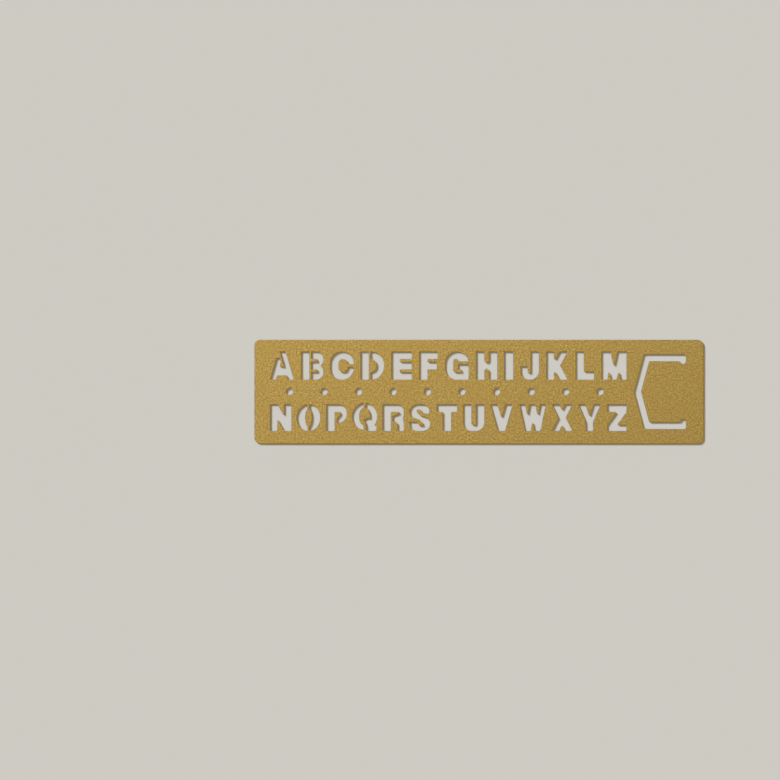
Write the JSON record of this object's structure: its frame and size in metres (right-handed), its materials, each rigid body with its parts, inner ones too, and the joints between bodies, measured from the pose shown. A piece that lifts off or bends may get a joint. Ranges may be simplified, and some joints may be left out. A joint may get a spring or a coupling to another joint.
{
  "type": "lettering stencil",
  "caption": "Flat brass lettering stencil and bookmark: capitals in two rows, a row of round guide dots, and a pointed spring tongue cut free to grip a page.",
  "frame": {"origin": "middle of the sheet's outline, on its underside", "axes": "+X along the rows in reading order, towards the page clip; +Y towards the tops of the letters; +Z out of the readable face"},
  "size_m": [0.104, 0.024, 0.0003],
  "materials": {
    "sheet_brass": "satin, finely grained sheet brass"
  },
  "bodies": {
    "plate": {"stencil_plate": "sheet_brass"},
    "tongue": {"page_clip_tongue": "sheet_brass"}
  },
  "joints": [
    {"name": "clip_flexure", "type": "hinge", "parent": "plate", "child": "tongue", "pos_m": [0.0473, 0, 0.00015], "axis": [0, 1, 0], "range_deg": [0, 6], "stiffness_Nm_per_rad": 0.93}
  ]
}
